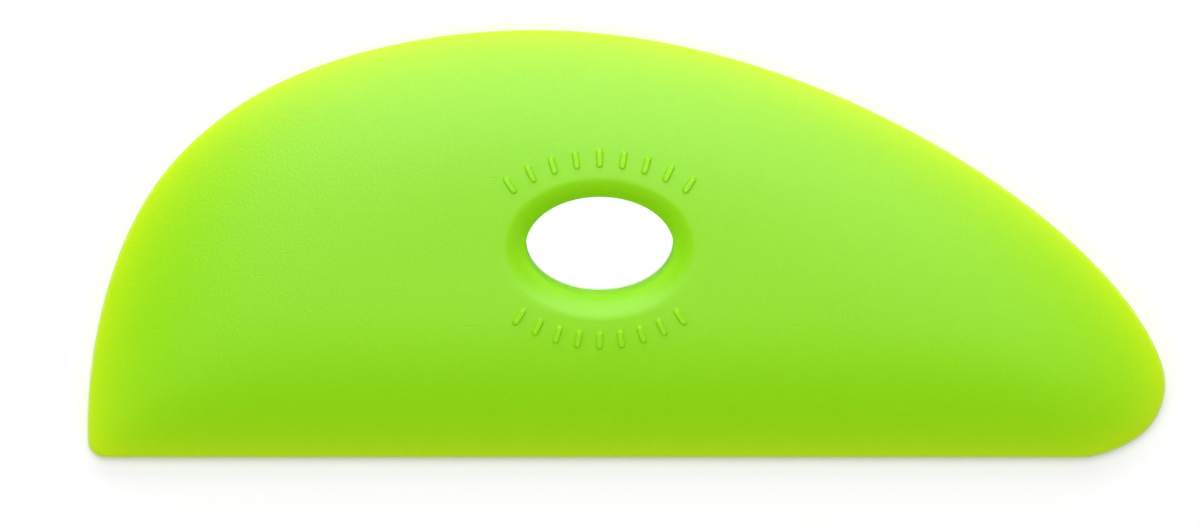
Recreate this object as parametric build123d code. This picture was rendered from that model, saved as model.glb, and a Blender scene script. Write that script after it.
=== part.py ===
from build123d import *
import math
import os

# A pottery rib: one soft polyurethane casting with a straight edge, a curved edge and a
# finger hole. It lies on its flat back. X runs along the straight edge, Y across the
# blade and Z up through its thickness, from the middle of the back.

# Driving dimensions, in millimetres.

# The blade
LENGTH = 127.0
WIDTH = 50.8
THICKNESS = 6.35
EDGE_THICKNESS = 1.6
TAPER_WIDTH = 18.0
CORNER_RADIUS = 1.9
FRONT_EDGE_RADIUS = 0.55
BACK_EDGE_RADIUS = 0.4

# The finger hole
HOLE_LENGTH = 17.2
HOLE_WIDTH = 11.7
HOLE_LEFT_OF_MIDDLE = 3.1
HOLE_ABOVE_MIDDLE = 0.6
FRONT_LIP_RADIUS = 2.5
BACK_LIP_RADIUS = 1.2

# The raised grip bars, on one arc above the hole and one below it
BAR_COUNT = 9
BAR_LENGTH = 2.2
BAR_WIDTH = 0.8
BAR_RELIEF = 0.32
BAR_TOP_RADIUS = 0.22
UPPER_ARC_RADIUS = 18.8
UPPER_ARC_ABOVE_HOLE = 10.6
LOWER_ARC_RADIUS = 17.0
LOWER_ARC_BELOW_HOLE = 10.9
ARC_SWEEP = 67.0

# How the domed front is worked out
SECTION_PITCH = 4.0
RIM_MARGIN = 4.0
RIM_PITCH = 1.2
TOUCHING = 0.001
OVERRUN = 1.0

# The curved edge from the right end of the straight edge, round the nose and over the
# top to the left corner, as shares of the length and the width from that corner.
CURVE_SHARES = (
    (0.9216, 0.0000),
    (0.9600, 0.0250),
    (0.9866, 0.0743),
    (1.0000, 0.1666),
    (0.9866, 0.2779),
    (0.9310, 0.4600),
    (0.8289, 0.6656),
    (0.6990, 0.8420),
    (0.5600, 0.9575),
    (0.4207, 1.0000),
    (0.2800, 0.9620),
    (0.1600, 0.8500),
    (0.0683, 0.6480),
    (0.0200, 0.3920),
    (0.0000, 0.0503),
    (0.0000, 0.0000),
)


def at_shares(length_share, width_share):
    """A place in plan, from its shares of the length and the width."""
    return (length_share - 0.5) * LENGTH, (width_share - 0.5) * WIDTH


def blade_outline():
    """The outline as one face: the straight edge, the curved edge and the small corner."""
    curve_points = [at_shares(*shares) for shares in CURVE_SHARES]
    curve = Spline(*curve_points, tangents=((1, 0), (0, -1)), tangent_scalars=(1, 1))
    straight = Line(curve_points[-1], curve_points[0])
    sharp = make_face([straight, curve])
    corner = sharp.vertices().sort_by(Axis.X)[0]
    return fillet(corner, CORNER_RADIUS)


def rim_places(outline):
    """Places one margin outside the outline, joined by runs that stand for its curves."""
    places = []
    for edge in outline.wire().order_edges():
        runs = 1 if edge.geom_type == GeomType.LINE else math.ceil(edge.length / RIM_PITCH)
        for run in range(runs):
            place = edge @ (run / runs)
            outward = (edge % (run / runs)).rotate(Axis.Z, 90)
            places.append(place + outward * math.copysign(RIM_MARGIN, outward.dot(place)))
    return [(place.X, place.Y) for place in places + places[:1]]


def felt_up_to(along, aside):
    """The sum of 1 / distance^4 over a straight run, up to one place on it."""
    near = along / (2 * aside**2 * (aside**2 + along**2))
    return near + math.atan2(along, aside) / (2 * aside**3)


def depth_in_blade(x, y, rim):
    """How far a place lies inside the outline, or outside it where negative.

    Each run of the rim is felt as 1 / distance^4. Beside one edge that gives the plain
    distance, and between two edges it blends them, with no crease down the middle.
    """
    felt = 0
    turn = 0
    for start, end in zip(rim, rim[1:]):
        start_x, start_y = start[0] - x, start[1] - y
        end_x, end_y = end[0] - x, end[1] - y
        run = math.dist(start, end)
        start_along = (start_x * (end_x - start_x) + start_y * (end_y - start_y)) / run
        cross = start_x * end_y - start_y * end_x
        aside = max(abs(cross) / run, TOUCHING)
        felt += felt_up_to(start_along + run, aside) - felt_up_to(start_along, aside)
        turn += math.atan2(cross, start_x * end_x + start_y * end_y)
    from_rim = (math.pi / 2 / felt) ** (1 / 3)
    return math.copysign(from_rim, abs(turn) - math.pi) - RIM_MARGIN


def dome_height(x, y, rim):
    """Height of the domed front: thin at the rim and full where the taper ends."""
    taper_left = max(1 - depth_in_blade(x, y, rim) / TAPER_WIDTH, 0)
    return THICKNESS - (THICKNESS - EDGE_THICKNESS) * taper_left**2


def places_across(size):
    """Evenly spaced places across a size, from one overrun to the other."""
    span = size + 2 * OVERRUN
    steps = math.ceil(span / SECTION_PITCH)
    return [(step / steps - 0.5) * span for step in range(steps + 1)]


def space_under_dome(rim):
    """All that lies below the domed front, lofted through sections across the blade."""
    across = places_across(WIDTH)
    sections = []
    for x in places_across(LENGTH):
        crown = [Vector(x, y, dome_height(x, y, rim)) for y in across]
        sections.append(Wire([Edge.make_spline(crown, parameters=across)]))
    dome = Shell.make_loft(sections).faces()[0]
    return extrude(dome, amount=2 * THICKNESS, dir=(0, 0, -1))


def blade(outline, rim):
    """The solid blade: flat back, domed front and softly rounded rims."""
    body = extrude(outline, amount=THICKNESS + OVERRUN) & space_under_dome(rim)
    front = body.faces().sort_by(Axis.Z)[-1]
    body = fillet(front.outer_wire().edges(), FRONT_EDGE_RADIUS)
    back = body.faces().sort_by(Axis.Z)[0]
    return fillet(back.outer_wire().edges(), BACK_EDGE_RADIUS)


def with_finger_hole(body):
    """The blade with its oval hole, rolled over at the front and eased at the back."""
    center = (-HOLE_LEFT_OF_MIDDLE, HOLE_ABOVE_MIDDLE)
    quarters = [
        EllipticalCenterArc(center, HOLE_LENGTH / 2, HOLE_WIDTH / 2, start_angle=start, arc_size=90)
        for start in (0, 90, 180, 270)
    ]
    body -= extrude(make_face(quarters), amount=THICKNESS + OVERRUN, both=True)
    front = body.faces().sort_by(Axis.Z)[-1]
    body = fillet(front.inner_wires()[0].edges(), FRONT_LIP_RADIUS)
    back = body.faces().sort_by(Axis.Z)[0]
    return fillet(back.inner_wires()[0].edges(), BACK_LIP_RADIUS)


def on_dome(place, rim):
    """The place on the domed front above a place in plan."""
    return Vector(place.X, place.Y, dome_height(place.X, place.Y, rim))


def grip_bar(place, outward, rim):
    """One low bar with round ends and a soft top, seated on the slope of the dome."""
    middle = on_dome(place, rim)
    ahead = on_dome(place + outward * BAR_LENGTH / 2, rim) - middle
    beside = on_dome(place + outward.rotate(Axis.Z, 90) * BAR_WIDTH / 2, rim) - middle
    seat = Plane(middle, x_dir=ahead, z_dir=ahead.cross(beside))
    bar = extrude(seat * SlotOverall(BAR_LENGTH, BAR_WIDTH), amount=BAR_RELIEF, both=True)
    top = bar.faces().sort_by(Axis(seat.origin, seat.z_dir))[-1]
    return fillet(top.edges(), BAR_TOP_RADIUS)


def grip_bars(rim):
    """The bars of both arcs, spread evenly to the left and right of the hole."""
    bars = []
    for side, radius, from_hole in (
        (1, UPPER_ARC_RADIUS, UPPER_ARC_ABOVE_HOLE),
        (-1, LOWER_ARC_RADIUS, LOWER_ARC_BELOW_HOLE),
    ):
        center = Vector(-HOLE_LEFT_OF_MIDDLE, HOLE_ABOVE_MIDDLE + side * (from_hole - radius))
        for bar in range(BAR_COUNT):
            turn = (bar / (BAR_COUNT - 1) - 0.5) * ARC_SWEEP
            outward = Vector(0, side).rotate(Axis.Z, turn)
            bars.append(grip_bar(center + outward * radius, outward, rim))
    return bars


outline = blade_outline()
rim = rim_places(outline)
rib = with_finger_hole(blade(outline, rim)) + grip_bars(rim)

os.makedirs("parts", exist_ok=True)
export_step(rib, "parts/rib.step")
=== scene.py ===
import math
import bpy
import numpy as np
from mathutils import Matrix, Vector


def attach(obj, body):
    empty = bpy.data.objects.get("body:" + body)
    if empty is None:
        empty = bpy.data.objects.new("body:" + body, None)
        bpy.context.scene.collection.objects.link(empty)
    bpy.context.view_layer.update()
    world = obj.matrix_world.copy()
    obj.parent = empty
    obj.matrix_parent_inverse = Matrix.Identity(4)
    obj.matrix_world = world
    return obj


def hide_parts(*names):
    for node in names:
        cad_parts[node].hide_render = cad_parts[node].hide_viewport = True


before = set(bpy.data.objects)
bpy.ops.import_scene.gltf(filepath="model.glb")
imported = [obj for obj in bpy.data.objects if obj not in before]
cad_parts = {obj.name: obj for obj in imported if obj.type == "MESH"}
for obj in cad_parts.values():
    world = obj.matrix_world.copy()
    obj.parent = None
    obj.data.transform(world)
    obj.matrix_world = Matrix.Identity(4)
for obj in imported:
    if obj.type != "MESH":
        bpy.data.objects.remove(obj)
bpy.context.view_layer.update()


# The view
# The rib lies on its back and is seen from above, from a little towards its curved edge,
# through a long lens that flattens it.
MM = 0.001
IMAGE_WIDTH_PX = 1200
PX_PER_MM = 8.53
CAMERA_LEAN = math.radians(10.5)
LENS_MM = 150
AIM = Vector((-3.06, -2.12, 1.0)) * MM
CLIP_SPAN = 100

bpy.ops.object.select_all(action="DESELECT")
bpy.ops.object.camera_add()
camera = bpy.context.object
camera.name = "view_from_above"
camera.data.lens = LENS_MM
seen_width = IMAGE_WIDTH_PX / PX_PER_MM * MM
camera_distance = seen_width * LENS_MM / camera.data.sensor_width
towards_camera = Vector((0, math.sin(CAMERA_LEAN), math.cos(CAMERA_LEAN)))
camera.location = AIM + towards_camera * camera_distance
camera.rotation_euler = (-CAMERA_LEAN, 0, 0)
camera.data.clip_start = camera_distance / CLIP_SPAN
camera.data.clip_end = camera_distance * CLIP_SPAN
bpy.context.scene.camera = camera


# The blade
# The real rib is one casting of soft polyurethane: a flat back, a front that swells from
# thin rims to a thick middle, and a finger hole whose lip is rolled over at the front.
THICKNESS = 6.35 * MM
EDGE_THICKNESS = 1.6 * MM
TAPER_WIDTH = 18.0 * MM
FRONT_EDGE = {"offset": 0.55 * MM, "segments": 6}
BACK_EDGE = {"offset": 0.4 * MM, "segments": 5}
HOLE_LENGTH = 17.2 * MM
HOLE_WIDTH = 11.7 * MM
FRONT_LIP_WIDTH = 2.5 * MM
FRONT_LIP_DEPTH = 1.5 * MM
FRONT_LIP = {"offset": FRONT_LIP_WIDTH, "segments": 16, "profile": 0.38}
BACK_LIP = {"offset": 1.2 * MM, "segments": 8, "profile": 0.5}
CUT_HEIGHT = 0.7 * MM
RIM_SIDES = 480
TURN_LENGTH = 3.0 * MM
FRONT_RINGS = 56
BACK_RINGS = 14
ON_WALL = 1.001
LIP_REACH = 1.6
LIP_TO_RIM = 5.0 * MM
RIM_MARGIN = 4.0 * MM
MARGIN_STEP = 2
BATCH = 4000
TOUCHING = 0.00001 * MM
WELDED = 0.0001 * MM
SAME_PLACE = 0.02 * MM

# The rim and the hole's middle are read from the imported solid, by a level cut at a height
# where the rim stands upright.
bpy.ops.object.select_all(action="DESELECT")
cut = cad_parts["rib"].copy()
cut.data = cut.data.copy()
bpy.context.scene.collection.objects.link(cut)
cut.select_set(True)
bpy.context.view_layer.objects.active = cut
bpy.ops.object.mode_set(mode="EDIT")
bpy.ops.mesh.select_all(action="SELECT")
bpy.ops.mesh.remove_doubles(threshold=WELDED)
bpy.ops.mesh.bisect(
    plane_co=(0, 0, CUT_HEIGHT),
    plane_no=(0, 0, 1),
    clear_inner=True,
    clear_outer=True,
    threshold=TOUCHING,
)
bpy.ops.mesh.select_all(action="SELECT")
bpy.ops.mesh.remove_doubles(threshold=SAME_PLACE)
bpy.ops.object.mode_set(mode="OBJECT")


def loops_of(mesh):
    """The closed loops of a mesh that has only edges, the shortest first, as places in plan."""
    beside = {vertex.index: [] for vertex in mesh.vertices}
    for edge in mesh.edges:
        first, second = edge.vertices
        beside[first].append(second)
        beside[second].append(first)
    loops = []
    while beside:
        at = min(beside)
        loop = []
        while at is not None:
            loop.append(mesh.vertices[at].co.xy[:])
            ways = [near for near in beside.pop(at) if near in beside]
            at = ways[0] if ways else None
        loops.append(np.array(loop))
    return sorted(loops, key=lambda loop: np.ptp(loop[:, 0]))


def evenly_round(loop, count):
    """Places on the smooth curve through a loop, evenly spaced but closer where it turns."""
    ahead = np.roll(loop, -1, axis=0) - loop
    length = np.hypot(*ahead.T)
    heading = np.arctan2(ahead[:, 1], ahead[:, 0])
    turn = np.abs((heading - np.roll(heading, 1) + np.pi) % (2 * np.pi) - np.pi)
    step = length + TURN_LENGTH * (turn + np.roll(turn, -1)) / 2
    so_far = np.concatenate([[0], np.cumsum(step)])
    wanted = np.arange(count) / count * so_far[-1]
    at = np.searchsorted(so_far, wanted, side="right") - 1
    share = ((wanted - so_far[at]) / step[at])[:, None]
    before, start, end, after = (loop[(at + k) % len(loop)] for k in (-1, 0, 1, 2))
    from_before, along, to_after = (length[(at + k) % len(loop)][:, None] for k in (-1, 0, 1))
    middle = (end - start) / along
    leave = ((start - before) / from_before * along + middle * from_before) / (from_before + along)
    arrive = (middle * to_after + (after - end) / to_after * along) / (along + to_after)
    bend = leave + arrive - 2 * middle
    return start + along * share * (leave + share * (3 * middle - 2 * leave - arrive + share * bend))


hole_cut, rim_cut = loops_of(cut.data)
bpy.data.objects.remove(cut)
rim = evenly_round(rim_cut, RIM_SIDES)
following = np.roll(rim, -1, axis=0)
if (rim[:, 0] * following[:, 1] - rim[:, 1] * following[:, 0]).sum() < 0:
    rim = rim[::-1]
hole_middle = (hole_cut.min(0) + hole_cut.max(0)) / 2
hole_half = np.array([HOLE_LENGTH, HOLE_WIDTH]) / 2
towards_rim = (rim - hole_middle) / np.hypot(*(rim - hole_middle).T)[:, None]
hole = hole_middle + towards_rim / np.hypot(*(towards_rim / hole_half).T)[:, None]

# The mesh starts as a flat ring between the rim and the hole, and is drawn up to a slab.
bpy.ops.mesh.primitive_circle_add(vertices=RIM_SIDES, fill_type="NOTHING")
blade = bpy.context.object
blade.name = "rib_casting"
for vertex, place in zip(blade.data.vertices, rim):
    vertex.co.xy = place
bpy.ops.object.mode_set(mode="EDIT")
bpy.ops.mesh.select_all(action="SELECT")
bpy.ops.mesh.extrude_edges_move()
bpy.ops.object.mode_set(mode="OBJECT")
for vertex, place in zip(blade.data.vertices[RIM_SIDES:], hole):
    vertex.co.xy = place
bpy.ops.object.mode_set(mode="EDIT")
bpy.ops.mesh.select_all(action="SELECT")
bpy.ops.mesh.extrude_region_move(TRANSFORM_OT_translate={"value": (0, 0, THICKNESS)})
bpy.ops.mesh.select_all(action="SELECT")
bpy.ops.mesh.normals_make_consistent(inside=False)
bpy.ops.object.mode_set(mode="OBJECT")


def places_of(mesh):
    """All the vertex places of a mesh, one row each."""
    places = np.empty(len(mesh.vertices) * 3, np.float32)
    mesh.vertices.foreach_get("co", places)
    return places.reshape(-1, 3).astype(float)


def off_middle(places):
    """How far off the hole's middle places lie in plan, where 1 is the hole's wall."""
    return np.hypot(*((places[:, :2] - hole_middle) / hole_half).T)


def in_hole(places):
    """Which places lie no further out than the wall of the finger hole."""
    return off_middle(places) < ON_WALL


def select_edges(mesh, height, choose):
    """Goes into edit mode with those level edges at a height selected that a test chooses."""
    places = places_of(mesh)
    ends = np.empty(len(mesh.edges) * 2, np.int32)
    mesh.edges.foreach_get("vertices", ends)
    start, end = (places[ends[k::2]] for k in (0, 1))
    level = (abs(start[:, 2] - height) < TOUCHING) & (abs(end[:, 2] - height) < TOUCHING)
    bpy.ops.object.mode_set(mode="EDIT")
    bpy.ops.mesh.select_mode(type="EDGE")
    bpy.ops.mesh.select_all(action="DESELECT")
    bpy.ops.object.mode_set(mode="OBJECT")
    mesh.edges.foreach_set("select", level & choose(start, end))
    bpy.ops.object.mode_set(mode="EDIT")


# Front and back have their edges and lips rounded, and the faces that run from the lip to
# the rim are cut into rings.
for height, edge, lip, rings in (
    (THICKNESS, FRONT_EDGE, FRONT_LIP, FRONT_RINGS),
    (0, BACK_EDGE, BACK_LIP, BACK_RINGS),
):
    select_edges(blade.data, height, lambda start, end: ~in_hole(start) & ~in_hole(end))
    bpy.ops.mesh.bevel(**edge)
    bpy.ops.object.mode_set(mode="OBJECT")
    select_edges(blade.data, height, lambda start, end: in_hole(start) & in_hole(end))
    bpy.ops.mesh.bevel(**lip)
    bpy.ops.object.mode_set(mode="OBJECT")
    select_edges(blade.data, height, lambda start, end: np.hypot(*(end - start)[:, :2].T) > LIP_TO_RIM)
    bpy.ops.mesh.subdivide(number_cuts=rings)
    bpy.ops.object.mode_set(mode="OBJECT")

# The depth inside the blade is felt from a margin outside its rim.
margin_sides = rim[::MARGIN_STEP]
ahead = np.roll(margin_sides, -1, axis=0) - np.roll(margin_sides, 1, axis=0)
outward = np.stack([ahead[:, 1], -ahead[:, 0]], axis=1) / np.hypot(*ahead.T)[:, None]
margin = margin_sides + outward * RIM_MARGIN


def depth_in_blade(places):
    """How far places lie inside the rim, by the nearest edge, with no crease between edges."""
    start = margin[None] - places[:, None]
    run = np.roll(margin, -1, axis=0) - margin
    length = np.hypot(*run.T)
    cross = start[..., 0] * run[:, 1] - start[..., 1] * run[:, 0]
    aside = np.maximum(np.abs(cross) / length, TOUCHING)
    first = (start * run).sum(-1) / length

    def felt_up_to(along):
        """The sum of 1 / distance^4 over a side of the margin, up to one place on it."""
        near = along / (2 * aside**2 * (aside**2 + along**2))
        return near + np.arctan2(along, aside) / (2 * aside**3)

    felt = (felt_up_to(first + length) - felt_up_to(first)).sum(1)
    return (np.pi / 2 / felt) ** (1 / 3) - RIM_MARGIN


def depths_of(places):
    """The depths of many places, worked out a batch at a time."""
    batches = np.array_split(places[:, :2], math.ceil(len(places) / BATCH))
    return np.concatenate([depth_in_blade(batch) for batch in batches])


# The front lip is wider than it is deep.
places = places_of(blade.data)
in_lip = (off_middle(places) < LIP_REACH) & (places[:, 2] > THICKNESS - FRONT_LIP_WIDTH - SAME_PLACE)
places[in_lip, 2] = THICKNESS - (THICKNESS - places[in_lip, 2]) * FRONT_LIP_DEPTH / FRONT_LIP_WIDTH

# The front is lowered towards the rims.
taper_left = np.maximum(1 - depths_of(places) / TAPER_WIDTH, 0)
front = places[:, 2] > THICKNESS / 2
places[front, 2] -= (THICKNESS - EDGE_THICKNESS) * taper_left[front] ** 2
blade.data.vertices.foreach_set("co", places.astype(np.float32).ravel())
blade.data.update()


# The grip bars
# Raised in the same mould, short bars stand round the hole on one arc above it and one
# below it. They mark the hole for a wet thumb, and their tops are soft.
BAR_COUNT = 9
BAR_LENGTH = 2.2 * MM
BAR_WIDTH = 0.8 * MM
BAR_RELIEF = 0.32 * MM
BAR_SLOPE = 0.17 * MM
BAR_CUTS = 3
ARC_SWEEP = math.radians(67.0)
UPPER_ARC_RADIUS = 18.8 * MM
UPPER_ARC_ABOVE_HOLE = 10.6 * MM
LOWER_ARC_RADIUS = 17.0 * MM
LOWER_ARC_BELOW_HOLE = 10.9 * MM

bars = []
for side, radius, from_hole in (
    (1, UPPER_ARC_RADIUS, UPPER_ARC_ABOVE_HOLE),
    (-1, LOWER_ARC_RADIUS, LOWER_ARC_BELOW_HOLE),
):
    arc_middle = hole_middle + np.array([0, side * (from_hole - radius)])
    for number in range(BAR_COUNT):
        turn = (number / (BAR_COUNT - 1) - 0.5) * ARC_SWEEP
        along = np.array([math.sin(turn), side * math.cos(turn)])
        bars.append((arc_middle + along * radius, along))


def from_bars(places):
    """How far places lie in plan from the middle line of the nearest bar."""
    nearest = np.full(len(places), np.inf)
    half_line = (BAR_LENGTH - BAR_WIDTH) / 2
    for middle, along in bars:
        offset = places[:, :2] - middle
        beyond = np.clip(offset @ along, -half_line, half_line)
        nearest = np.minimum(nearest, np.hypot(*(offset - beyond[:, None] * along).T))
    return nearest


# The front is cut finer under the bars, and rises there in a soft step.
bpy.ops.object.mode_set(mode="EDIT")
bpy.ops.mesh.select_mode(type="FACE")
bpy.ops.mesh.select_all(action="DESELECT")
bpy.ops.object.mode_set(mode="OBJECT")
middles = np.array([face.center for face in blade.data.polygons])
near_bars = (from_bars(middles) < BAR_WIDTH) & (middles[:, 2] > THICKNESS / 2)
blade.data.polygons.foreach_set("select", near_bars)
bpy.ops.object.mode_set(mode="EDIT")
bpy.ops.mesh.subdivide(number_cuts=BAR_CUTS)
bpy.ops.object.mode_set(mode="OBJECT")

places = places_of(blade.data)
raised = np.clip((BAR_WIDTH / 2 - from_bars(places)) / BAR_SLOPE, 0, 1)
raised[places[:, 2] < THICKNESS / 2] = 0
places[:, 2] += BAR_RELIEF * raised**2 * (3 - 2 * raised)
blade.data.vertices.foreach_set("co", places.astype(np.float32).ravel())
blade.data.update()
bpy.ops.object.shade_smooth()

depth_layer = blade.data.attributes.new("depth", "FLOAT", "POINT")
depth_layer.data.foreach_set("value", (depths_of(places) / MM).astype(np.float32))


# The polyurethane
# Cast lime green, slightly see-through where it is thin, with the satin skin and faint grain of its
# mould.
# Its rims are coloured paler and more yellow: partly the thin slab's own tint, partly painted glow of
# light shining through them.
RIM_TINT_AND_GLOW_COLOUR = (0.60, 0.90, 0.003, 1)
BODY_COLOUR = (0.302, 0.775, 0.001, 1)
RIM_FADE_MM = 3.0
SPECULAR_LEVEL = 0.58
SATIN = 0.40
SATIN_SWING = 0.08
SEE_THROUGH = 0.5
SEE_THROUGH_TINT = (1.0, 0.9, 0.2)
SEE_THROUGH_REACH = 1.5 * MM
NOISE_MIDDLE = 0.5
GRAIN_SIZE = 0.35 * MM
GRAIN_DETAIL = 2.0
GRAIN_DEPTH = 0.02 * MM
GRAIN_TINT = 0.3
MOTTLE_SIZE = 2.5 * MM
MOTTLE_DETAIL = 3.0
MOTTLE_TINT = 0.08
SCUFF_SPACING = 9.0 * MM
SCUFF_SHAPE = (1.0, 5.0, 1.0)
SCUFF_TURN = (0, 0, math.radians(25))
SCUFF_REACH = 0.08
SCUFF_DEPTH = 0.02 * MM
WALL_ROUGHNESS = 0.35
WALL_END = 1.12
WALL_FADE = 0.08

# The Mix node's colour sockets, which share their names with its other sockets.
COLOUR_A, COLOUR_B, MIXED_COLOUR = 6, 7, 2


class Shade:
    """A socket of a material, on which Python's arithmetic adds Math nodes."""

    def __init__(self, tree, socket=None):
        self.tree = tree
        self.socket = socket

    def node(self, kind, settings=None, feeds=None, gives=0):
        """Adds a node, sets it, feeds its sockets values or links, and returns one output."""
        node = self.tree.nodes.new(kind)
        for name, value in (settings or {}).items():
            setattr(node, name, value)
        for name, value in (feeds or {}).items():
            if isinstance(value, Shade):
                self.tree.links.new(value.socket, node.inputs[name])
            else:
                node.inputs[name].default_value = value
        return Shade(self.tree, node.outputs[gives] if node.outputs else None)

    def math(self, operation, *values):
        return self.node("ShaderNodeMath", {"operation": operation}, dict(enumerate(values)))

    def __add__(self, other):
        return self.math("ADD", self, other)

    def __sub__(self, other):
        return self.math("SUBTRACT", self, other)

    def __mul__(self, other):
        return self.math("MULTIPLY", self, other)

    def __truediv__(self, other):
        return self.math("DIVIDE", self, other)

    __radd__ = __add__
    __rmul__ = __mul__

    def __rsub__(self, other):
        return self.math("SUBTRACT", other, self)


def new_material(name):
    """An empty material, and the start of its shading."""
    material = bpy.data.materials.new(name)
    material.use_nodes = True
    material.node_tree.nodes.clear()
    return material, Shade(material.node_tree)


def mixed(shade, factor, first, second):
    """The colour between two, by a factor from 0 to 1."""
    return shade.node(
        "ShaderNodeMix",
        {"data_type": "RGBA"},
        {"Factor": factor, COLOUR_A: first, COLOUR_B: second},
        gives=MIXED_COLOUR,
    )


def noise(shade, place, size, detail):
    """Soft noise whose waves are about a size long."""
    feeds = {"Vector": place, "Scale": 1 / size, "Detail": detail}
    return shade.node("ShaderNodeTexNoise", {}, feeds, gives="Fac")


def off_hole(shade, place):
    """How far off the hole's middle a place lies in plan, where 1 is the hole's wall."""
    around = shade.node(
        "ShaderNodeMapping",
        {"vector_type": "TEXTURE"},
        {"Vector": place, "Location": (*hole_middle, 0), "Scale": (*hole_half, 1)},
    )
    in_plan = shade.node("ShaderNodeVectorMath", {"operation": "MULTIPLY"}, {0: around, 1: (1, 1, 0)})
    return shade.node("ShaderNodeVectorMath", {"operation": "LENGTH"}, {0: in_plan}, gives="Value")


polyurethane, lime = new_material("lime_polyurethane")
place = lime.node("ShaderNodeTexCoord", gives="Object")
depth_mm = lime.node("ShaderNodeAttribute", {"attribute_name": "depth"}, gives="Fac")
# Towards the rims the colour is mixed to a paler, brighter one: partly the thin slab's own tint,
# partly painted glow of light shining through the thin rims.
thin_rim_glow = lime.math("EXPONENT", depth_mm * (-1 / RIM_FADE_MM))
grain = noise(lime, place, GRAIN_SIZE, GRAIN_DETAIL)
mottle = noise(lime, place, MOTTLE_SIZE, MOTTLE_DETAIL)
tint_and_rim_glow = thin_rim_glow + GRAIN_TINT * (grain - NOISE_MIDDLE) + MOTTLE_TINT * (mottle - NOISE_MIDDLE)

# Scuffs are short shallow dents, few and far between, all worn much the same way.
rubbed = lime.node(
    "ShaderNodeMapping", {}, {"Vector": place, "Rotation": SCUFF_TURN, "Scale": SCUFF_SHAPE}
)
scuffed = lime.node(
    "ShaderNodeTexVoronoi", {}, {"Vector": rubbed, "Scale": 1 / SCUFF_SPACING}, gives="Distance"
)
scuff = lime.math("MAXIMUM", 1 - scuffed * (1 / SCUFF_REACH), 0.0)
relief_mm = (grain * GRAIN_DEPTH - scuff * SCUFF_DEPTH) * (1 / MM)
skin = lime.node("ShaderNodeBump", {}, {"Strength": 1.0, "Distance": MM, "Height": relief_mm})

# The wall of the hole is duller, where the mould's plug was pulled out of it.
towards_wall = (WALL_END - off_hole(lime, place)) / WALL_FADE
wall = lime.math("MINIMUM", lime.math("MAXIMUM", towards_wall, 0.0), 1.0)
cast = lime.node(
    "ShaderNodeBsdfPrincipled",
    {"subsurface_method": "RANDOM_WALK"},
    {
        "Base Color": mixed(lime, tint_and_rim_glow, BODY_COLOUR, RIM_TINT_AND_GLOW_COLOUR),
        "Roughness": SATIN + SATIN_SWING * (grain - NOISE_MIDDLE) + WALL_ROUGHNESS * wall,
        "Normal": skin,
        "Specular IOR Level": SPECULAR_LEVEL,
        "Subsurface Weight": SEE_THROUGH,
        "Subsurface Radius": SEE_THROUGH_TINT,
        "Subsurface Scale": SEE_THROUGH_REACH,
    },
)
lime.node("ShaderNodeOutputMaterial", {}, {"Surface": cast})

blade.data.materials.append(polyurethane)
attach(blade, "root")
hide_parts("rib")


# The table top
# A wide sheet of matt white paper under the rib, which keeps the rib's soft shadow. To the
# camera and in reflections it is a little over white, so that it is plain white away from
# the rib, and a faint glow keeps it white through the hole.
TABLE_SIZE = 3000 * MM
PAPER_COLOUR = (0.8, 0.8, 0.8, 1)
SEEN_PAPER_COLOUR = (1.04, 1.04, 1.04, 1)
HOLE_GLOW = 0.65

bpy.ops.object.select_all(action="DESELECT")
bpy.ops.mesh.primitive_plane_add(size=TABLE_SIZE)
table_top = bpy.context.object
table_top.name = "table_top"
paper, sheet = new_material("white_paper")
to_camera, in_gloss, through = (
    sheet.node("ShaderNodeLightPath", gives=ray)
    for ray in ("Is Camera Ray", "Is Glossy Ray", "Is Transmission Ray")
)
seen_colour = mixed(sheet, to_camera + in_gloss + through, PAPER_COLOUR, SEEN_PAPER_COLOUR)
matt = sheet.node("ShaderNodeBsdfDiffuse", {}, {"Color": seen_colour})
spot = sheet.node("ShaderNodeTexCoord", gives="Object")
under_hole = sheet.math("LESS_THAN", off_hole(sheet, spot), 1.0)
glow = sheet.node("ShaderNodeEmission", {}, {"Strength": HOLE_GLOW * under_hole * to_camera})
lit = sheet.node("ShaderNodeAddShader", {}, {0: matt, 1: glow})
sheet.node("ShaderNodeOutputMaterial", {}, {"Surface": lit})
table_top.data.materials.append(paper)


# The light
# Soft boxes: one overhead, one leaning past the curved edge for the sheen along the top,
# a long low one behind it for the bright edges, and one at each side that only fills and
# leaves no sheen. A dim white room fills the rest.
LAMP_DISTANCE = 1500 * MM
ROOM_STRENGTH = 0.09

for name, towards, width, height, watts, shines in (
    ("overhead_lamp", (0, 0, 1), 1000 * MM, 800 * MM, 4.2, True),
    ("sheen_lamp", (0, 0.5, 0.87), 1400 * MM, 900 * MM, 13.0, True),
    ("low_lamp", (0, 0.93, 0.37), 2200 * MM, 700 * MM, 12.6, True),
    ("left_lamp", (-1.2, -0.6, 0.7), 800 * MM, 1000 * MM, 5.8, False),
    ("right_lamp", (1.2, -0.6, 0.7), 800 * MM, 1000 * MM, 4.2, False),
):
    bpy.ops.object.light_add(type="AREA")
    lamp = bpy.context.object
    lamp.name = name
    lamp.data.shape = "RECTANGLE"
    lamp.data.size = width
    lamp.data.size_y = height
    lamp.data.energy = watts
    lamp.location = Vector(towards).normalized() * LAMP_DISTANCE
    lamp.rotation_euler = lamp.location.to_track_quat("Z", "Y").to_euler()
    lamp.visible_camera = False
    lamp.visible_glossy = shines

room = bpy.data.worlds.new("white_room")
room.use_nodes = True
room.node_tree.nodes.clear()
air = Shade(room.node_tree)
in_view = air.node("ShaderNodeLightPath", gives="Is Camera Ray")
room_strength = ROOM_STRENGTH + (1 - ROOM_STRENGTH) * in_view
white = air.node("ShaderNodeBackground", {}, {"Strength": room_strength})
air.node("ShaderNodeOutputWorld", {}, {"Surface": white})
bpy.context.scene.world = room
bpy.context.scene.view_settings.view_transform = "Standard"
